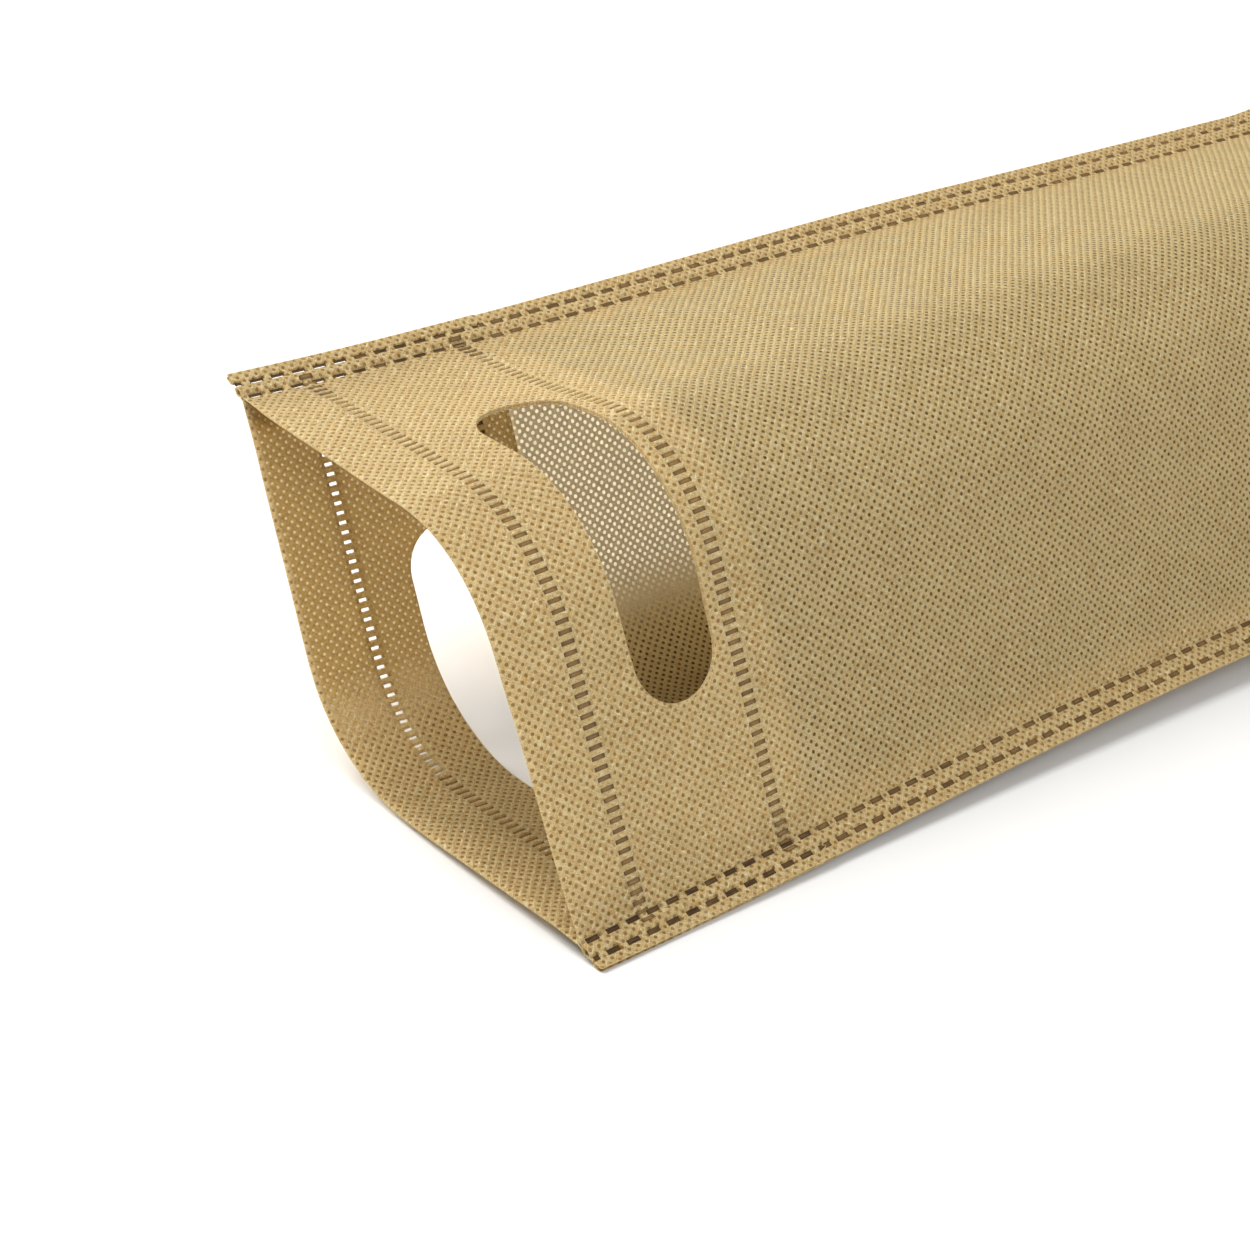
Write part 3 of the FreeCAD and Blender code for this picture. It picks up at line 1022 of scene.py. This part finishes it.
@dataclass(frozen=True)
class SpunbondCloth:
    """Spun-bonded polypropylene: endless fibres laid at random and melted together at a lattice of points.

    The fibres catch the light as fine pale streaks, and each bond point is a small dark dimple. Light shines
    through the thin film of a bond point, so against the light the points are brighter than the cloth. On the
    bag's inside with light behind it, the points are also painted pale, a painted glow, and the cloth is
    painted darker, a painted shade.

    Lengths are in millimetres, and the edges of a point are shares of the spacing. The last six values are
    shares of light that goes through: three for two layers and for one, of the sheet and of a point's film
    seen from inside and of a point seen from outside, and then of the sheet seen from outside, of a point
    that light falls on from outside, and of a face that is hidden between two layers.
    """

    name: str
    cloth: str = "#F8D68F"
    shade: str = "#C19850"
    fibre: str = "#FFF0BF"
    single: str = "#EEEFED"
    bond_single: str = "#5C3B09"
    bond_double: str = "#8E662A"
    # bond_shone paints the points' glow on the bag's inside with light behind them; shaded and the colour
    # after it are painted shade of the cloth there
    bond_shone: str = "#FFFBEE"
    shaded: str = "#D6C294"
    shaded_single: str = "#BDB296"
    glow: str = "#F7E6C0"
    gloss: str = "#F0DDB2"
    pale_edge: str = "#E9D09A"
    bond_spacing: float = 1.43
    point_edge: tuple[float, float] = (0.31, 0.2)
    fibre_length: float = 1.8
    fibre_width: float = 0.17
    drifts_per_mm: float = 0.45
    clumps_per_mm: float = 2.4
    clouds_per_mm: float = 0.12
    sheet: tuple[float, float] = (0.19, 0.3)
    film: tuple[float, float] = (0.6, 0.95)
    covered: tuple[float, float] = (0.14, 0.03)
    outer_sheet: float = 0.38
    lit_film: float = 0.72
    hidden: float = 0.92

    def lattice(self, tree: bpy.types.NodeTree, flat: Socket, grown: Socket) -> tuple[Socket, Socket, Socket]:
        """Draws the bond points: a square lattice that stands on its corner, with slightly uneven points.

        Args:
            tree: The material's node tree.
            flat: Socket with the place on the flat cloth, in millimetres.
            grown: Socket with how much wider a point looks, as a share of the spacing.

        Returns:
            Sockets with how far a place lies in a point, with the point's own strength, and with the cloth's
            height, which swells between the points.
        """
        node = partial(add_node, tree)
        axis = 0.7071 / self.bond_spacing
        one = node("VectorMath", {0: flat, 1: (axis, axis, 0)}, operation="DOT_PRODUCT")
        two = node("VectorMath", {0: flat, 1: (axis, -axis, 0)}, operation="DOT_PRODUCT")
        cell = node("CombineXYZ", {0: one.outputs["Value"], 1: two.outputs["Value"]})
        drift = node("TexNoise", {"Vector": flat, "Scale": self.drifts_per_mm, "Detail": 1.0})
        even = node("VectorMath", {0: drift.outputs["Color"], 1: (0.5, 0.5, 0.5)}, operation="SUBTRACT")
        moved = node("VectorMath", {0: even.outputs[0], 1: (0.2, 0.2, 0), 2: cell.outputs[0]},
                     operation="MULTIPLY_ADD")
        part = node("VectorMath", {0: moved.outputs[0]}, operation="FRACTION")
        middle = node("VectorMath", {0: part.outputs[0], 1: (0.5, 0.5, 0)}, operation="SUBTRACT")
        level = node("VectorMath", {0: middle.outputs[0], 1: (1, 1, 0)}, operation="MULTIPLY")
        far = node("VectorMath", {0: level.outputs[0]}, operation="LENGTH").outputs["Value"]
        reach = node("Math", {0: far, 1: grown}, operation="SUBTRACT").outputs[0]
        outside, within = self.point_edge
        point = node("MapRange", {"Value": reach, 1: outside, 2: within, 3: 0.0, 4: 1.0},
                     interpolation_type="SMOOTHSTEP")
        pillow = node("MapRange", {"Value": far, 1: 0.15, 2: 0.6}, interpolation_type="SMOOTHSTEP")
        own = node("VectorMath", {0: moved.outputs[0]}, operation="FLOOR")
        chance = node("TexWhiteNoise", {"Vector": own.outputs[0]})
        strength = node("MapRange", {"Value": chance.outputs["Value"], 3: 0.82, 4: 1.0})
        return point.outputs[0], strength.outputs[0], pillow.outputs[0]

    def fibres(self, tree: bpy.types.NodeTree, flat: Socket, degrees: float) -> Socket:
        """Draws fibres that lie about one way: noise drawn out along and narrow across, its crests kept.

        Real fibres are about 0.02 mm thick, too fine to show, so they are drawn as coarse as bundles of them.

        Args:
            tree: The material's node tree.
            flat: Socket with the place on the flat cloth, in millimetres.
            degrees: Angle of the fibres to the bag's length.

        Returns:
            Socket with how far a place lies on a fibre.
        """
        node = partial(add_node, tree)
        c, s = np.cos(np.radians(degrees)), np.sin(np.radians(degrees))
        length, width = self.fibre_length, self.fibre_width
        along = node("VectorMath", {0: flat, 1: (c / length, s / length, 0)}, operation="DOT_PRODUCT")
        across = node("VectorMath", {0: flat, 1: (-s / width, c / width, 0)}, operation="DOT_PRODUCT")
        drawn = node("CombineXYZ", {0: along.outputs["Value"], 1: across.outputs["Value"], 2: degrees})
        noise = node("TexNoise", {"Vector": drawn.outputs[0], "Scale": 1.0, "Detail": 2.0})
        crest = node("MapRange", {"Value": noise.outputs["Fac"], 1: 0.5, 2: 0.59},
                     interpolation_type="SMOOTHSTEP")
        return crest.outputs[0]

    def build(self) -> bpy.types.Material:
        """Makes the material.

        Returns:
            The material.
        """
        material = new_material(self.name)
        tree = material.node_tree
        node = partial(add_node, tree)
        flat = node("Attribute", attribute_name="flat").outputs["Vector"]
        cut, calm, doubled, shone, within, lit = (
            node("Attribute", attribute_name=name).outputs["Fac"]
            for name in ("cut", "calm", "doubled", "shone", "within", "lit"))
        alone = node("Math", {0: 1.0, 1: doubled}, operation="SUBTRACT").outputs[0]
        # on the bag's inside with light behind it, the points of the painted glow are drawn narrower on two
        # layers and wider on one
        wider = node("MapRange", {"Value": alone, 3: -0.06, 4: 0.03}).outputs[0]
        grown = node("Math", {0: wider, 1: shone}, operation="MULTIPLY").outputs[0]
        lattice, strength, pillow = self.lattice(tree, flat, grown)
        free = node("MapRange", {"Value": calm, 3: 1.0, 4: 0.1}).outputs[0]
        point = node("Math", {0: lattice, 1: free}, operation="MULTIPLY").outputs[0]
        one, two = self.fibres(tree, flat, 48), self.fibres(tree, flat, -35)
        fibre = node("Math", {0: one, 1: two}, operation="MAXIMUM").outputs[0]
        grain = node("TexNoise", {"Vector": flat, "Scale": self.clumps_per_mm, "Detail": 3.0}).outputs["Fac"]
        cloud = node("TexNoise", {"Vector": flat, "Scale": self.clouds_per_mm, "Detail": 2.0}).outputs["Fac"]
        mixed = node("Math", {0: cloud, 1: 0.4, 2: grain}, operation="MULTIPLY_ADD").outputs[0]
        level = node("MapRange", {"Value": mixed, 1: 0.52, 2: 0.92}).outputs[0]
        ground = node("Mix", {0: level, 6: linear(self.shade), 7: linear(self.cloth)}, data_type="RGBA")
        pale = node("Math", {0: fibre, 1: 0.95}, operation="MULTIPLY").outputs[0]
        streaked = node("Mix", {0: pale, 6: ground.outputs[2], 7: linear(self.fibre)}, data_type="RGBA")
        layered = node("Mix", {0: alone, 6: streaked.outputs[2], 7: linear(self.single)},
                       data_type="RGBA", blend_type="MULTIPLY")
        # painted shade: on the bag's inside with light behind it the cloth is darkened, more on one layer
        painted_inside_shade = node("Mix", {0: alone, 6: linear(self.shaded), 7: linear(self.shaded_single)}, data_type="RGBA")
        dim = node("Mix", {0: shone, 6: layered.outputs[2], 7: painted_inside_shade.outputs[2]},
                   data_type="RGBA", blend_type="MULTIPLY")
        bond = node("Mix", {0: doubled, 6: linear(self.bond_single), 7: linear(self.bond_double)},
                    data_type="RGBA")
        # painted glow: on the bag's inside with light behind it the bond points are painted pale, on top of
        # the light their film lets through
        painted_bond_glow = node("Mix", {0: shone, 6: bond.outputs[2], 7: linear(self.bond_shone)}, data_type="RGBA")
        bonded = node("Math", {0: point, 1: strength}, operation="MULTIPLY").outputs[0]
        spotted = node("Mix", {0: bonded, 6: dim.outputs[2], 7: painted_bond_glow.outputs[2]}, data_type="RGBA")
        # the cloth is drawn paler towards a cut edge
        edged = node("Math", {0: cut, 1: 0.22}, operation="MULTIPLY").outputs[0]
        colour = node("Mix", {0: edged, 6: spotted.outputs[2], 7: linear(self.pale_edge)}, data_type="RGBA")
        dimpled = node("Math", {0: fibre, 1: 0.7, 2: grain}, operation="MULTIPLY_ADD").outputs[0]
        height = node("Math", {0: pillow, 1: 1.6, 2: dimpled}, operation="MULTIPLY_ADD").outputs[0]
        bump = node("Bump", {"Strength": 0.8, "Distance": 0.00025, "Height": height})
        rough = node("MapRange", {"Value": point, 3: 0.78, 4: 0.45}).outputs[0]
        body = node("BsdfPrincipled", {
            "Base Color": colour.outputs[2], "Roughness": rough, "Normal": bump.outputs[0], "IOR": 1.49,
            "Specular IOR Level": 0.12, "Sheen Weight": 0.32, "Sheen Roughness": 0.45,
            "Sheen Tint": linear(self.gloss)})
        bare = node("Math", {0: alone, 1: shone}, operation="MULTIPLY").outputs[0]
        white = node("Math", {0: within, 1: bare}, operation="MAXIMUM").outputs[0]
        tint = node("Mix", {0: white, 6: linear(self.glow), 7: linear("#FFFFFF")}, data_type="RGBA")
        through = node("BsdfTranslucent", {"Color": tint.outputs[2]})
        sheet, film, covered = (
            node("MapRange", {"Value": alone, 3: pair[0], 4: pair[1]}).outputs[0]
            for pair in (self.sheet, self.film, self.covered))
        seen = node("Mix", {0: lit, 2: covered, 3: self.lit_film}).outputs[0]
        plain = node("Mix", {0: shone, 2: self.outer_sheet, 3: sheet}).outputs[0]
        clear = node("Mix", {0: shone, 2: seen, 3: film}).outputs[0]
        thin = node("Mix", {0: bonded, 2: plain, 3: clear}).outputs[0]
        share = node("Mix", {0: within, 2: thin, 3: self.hidden}).outputs[0]
        both = node("MixShader", {0: share, 1: body.outputs[0], 2: through.outputs[0]})
        node("OutputMaterial", {"Surface": both.outputs[0]})
        return material


@dataclass(frozen=True)
class PressedWeld:
    """Polypropylene cloth melted and pressed to a film: darker and smoother than the cloth, its rim darker as
    painted shade of the dash's wall.

    The film keeps faint streaks of the fibres, given as their number per millimetre along x and s.
    """

    name: str
    thin: str = "#957443"
    thick: str = "#38240F"
    rim: str = "#4C371B"
    streaks_per_mm: tuple[float, float] = (0.4, 3.6)

    def build(self) -> bpy.types.Material:
        """Makes the material.

        Returns:
            The material.
        """
        material = new_material(self.name)
        node = partial(add_node, material.node_tree)
        flat = node("Attribute", attribute_name="flat").outputs["Vector"]
        edge, chance, deep = (
            node("Attribute", attribute_name=name).outputs["Fac"] for name in ("edge", "chance", "deep"))
        drawn = node("VectorMath", {0: flat, 1: (*self.streaks_per_mm, 0)}, operation="MULTIPLY").outputs[0]
        grain = node("TexNoise", {"Vector": drawn, "Scale": 1.0, "Detail": 2.0}).outputs["Fac"]
        # deep darkens the film towards thick: partly a thicker melt, partly painted shade of deeper dashes
        varied = node("Math", {0: chance, 1: 0.35, 2: deep}, operation="MULTIPLY_ADD").outputs[0]
        share = node("Math", {0: grain, 1: 1.6, 2: varied}, operation="MULTIPLY_ADD").outputs[0]
        level = node("MapRange", {"Value": share, 1: 0.75, 2: 2.15}).outputs[0]
        film = node("Mix", {0: level, 6: linear(self.thin), 7: linear(self.thick)}, data_type="RGBA")
        # painted shade: the film's rim is darkened where the dash's wall shades it
        border = node("MapRange", {"Value": edge, 1: 0.45, 2: 0.9, 4: 0.8}).outputs[0]
        colour = node("Mix", {0: border, 6: film.outputs[2], 7: linear(self.rim)}, data_type="RGBA")
        bump = node("Bump", {"Strength": 0.5, "Distance": 0.0001, "Height": grain})
        rough = node("MapRange", {"Value": grain, 3: 0.35, 4: 0.6}).outputs[0]
        body = node("BsdfPrincipled", {
            "Base Color": colour.outputs[2], "Roughness": rough, "Normal": bump.outputs[0], "IOR": 1.49,
            "Specular IOR Level": 0.25})
        node("OutputMaterial", {"Surface": body.outputs[0]})
        return material


@dataclass(frozen=True)
class Studio:
    """Plain pale floor, soft light and the camera."""

    lens: float = 85.09
    place: Point = (-0.46163, -0.38604, 0.31057)
    right: Point = (0.78375, -0.61876, 0.05362)
    up: Point = (0.26987, 0.41704, 0.86790)
    back: Point = (-0.55938, -0.66574, 0.49384)
    sky: float = 0.45
    floor_half: float = 4.0

    def floor(self) -> bpy.types.Object:
        """Makes the floor: white board, matt, with a faint cloudiness.

        Returns:
            The floor as an object.
        """
        half = self.floor_half
        corners = [(-half, -half, 0), (half, -half, 0), (half, half, 0), (-half, half, 0)]
        mesh = bpy.data.meshes.new("floor")
        mesh.from_pydata(corners, [], [(0, 1, 2, 3)])
        floor = bpy.data.objects.new("floor", mesh)
        bpy.context.collection.objects.link(floor)
        material = new_material("white_board")
        node = partial(add_node, material.node_tree)
        place = node("TexCoord").outputs["Object"]
        cloud = node("TexNoise", {"Vector": place, "Scale": 3.0}).outputs["Fac"]
        colour = node("Mix", {0: cloud, 6: linear("#E6E6E5"), 7: linear("#E9E9E8")}, data_type="RGBA")
        body = node("BsdfPrincipled", {"Base Color": colour.outputs[2], "Roughness": 0.7})
        node("OutputMaterial", {"Surface": body.outputs[0]})
        mesh.materials.append(material)
        return floor

    def light(self, name: str, place: Point, aim: Point, size: float, power: float) -> None:
        """Adds a square area light.

        Args:
            name: Its name.
            place: Where it is, in metres.
            aim: The point that it faces.
            size: Its side, in metres.
            power: Its power, in watts.
        """
        lamp = bpy.data.lights.new(name, "AREA")
        lamp.size = size
        lamp.energy = power
        holder = bpy.data.objects.new(name, lamp)
        bpy.context.collection.objects.link(holder)
        away = np.array(place) - np.array(aim)
        back = away / np.linalg.norm(away)
        right = np.cross((0.0, 1.0, 0.0), back)
        right = right / np.linalg.norm(right)
        self.set_axes(holder, right, np.cross(back, right), back, place)

    def set_axes(self, holder: bpy.types.Object, right: Point, up: Point, back: Point, place: Point) -> None:
        """Puts an object at a place with its own axes along three directions."""
        rows = np.column_stack([right, up, back, place]).tolist()
        holder.matrix_world = Matrix([*rows, [0.0, 0.0, 0.0, 1.0]])

    def build(self) -> None:
        """Sets the floor, the lights, the world and the camera."""
        self.floor()
        self.light("key", place=(-0.45, 0.55, 1.35), aim=(0.0, 0.0, 0.0), size=1.1, power=22.5)
        self.light("back", place=(-0.3, 1.3, 0.2), aim=(0.0, 0.0, 0.03), size=0.5, power=24.0)
        self.light("fill", place=(0.25, -1.1, 0.85), aim=(0.0, 0.0, 0.05), size=1.2, power=9.0)
        world = bpy.data.worlds.new("studio")
        world.use_nodes = True
        sky = world.node_tree.nodes["Background"].inputs
        sky["Color"].default_value = linear("#FFFFFF")
        sky["Strength"].default_value = self.sky
        scene = bpy.context.scene
        scene.world = world
        scene.view_settings.view_transform = "Standard"
        camera = bpy.data.objects.new("camera", bpy.data.cameras.new("camera"))
        camera.data.lens = self.lens
        camera.data.sensor_width = 36.0
        camera.data.clip_start = 0.01
        bpy.context.collection.objects.link(camera)
        self.set_axes(camera, self.right, self.up, self.back, self.place)
        scene.camera = camera


@dataclass
class BottleBag:
    """The whole bag: two panels, two hems and ten rows of welds.

    The films of the seams, where more layers melt and the dashes lie deeper, are deeper in colour than those
    of
    the hems: partly a thicker melt, partly painted shade of the deeper dashes.
    """

    sizes: Sizes = field(default_factory=Sizes)
    seam_deep: float = 1.0
    hem_deep: float = 0.2

    def build(self) -> None:
        """Builds and dresses every piece, and ties each to the frame."""
        z = self.sizes
        welds = Welds(z)
        shape = BagShape(z, welds)
        cloth = SpunbondCloth("spunbond_polypropylene").build()
        hem_cloth = SpunbondCloth("spunbond_polypropylene_hem").build()
        melted = PressedWeld("melted_polypropylene").build()
        for side in Side:
            for hem, material, slot in ((False, cloth, "cloth"), (True, hem_cloth, "hem_cloth")):
                panel = Panel(shape, side, hem)
                piece = panel.build()
                self.tie(piece, panel.name, material)
        both = ((Side.FRONT, Face.OUTER), (Side.BACK, Face.OUTER))
        for name, row in welds.seam.items():
            self.tie(WeldPads(shape, name, row, both, self.seam_deep).build(), name, melted)
        for side in Side:
            for name, row in welds.hem[side].items():
                node = side.name.lower() + "_" + name
                faces = ((side, Face.OUTER), (side, Face.INNER))
                self.tie(WeldPads(shape, node, row, faces, self.hem_deep).build(), node, melted)

    def tie(self, piece: bpy.types.Object, node: str, material: bpy.types.Material) -> None:
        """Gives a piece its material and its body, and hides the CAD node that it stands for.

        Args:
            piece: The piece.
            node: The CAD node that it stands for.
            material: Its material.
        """
        piece.data.materials.append(material)
        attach(piece, "root")
        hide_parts(node)
        log.info("%s: %d faces", piece.name, len(piece.data.polygons))


def main() -> None:
    """Builds the bag and the studio, and logs the faces of each piece."""
    logging.basicConfig(level=logging.INFO, format="%(message)s")
    BottleBag().build()
    Studio().build()
    bpy.context.view_layer.update()


if __name__ == "__main__":
    main()
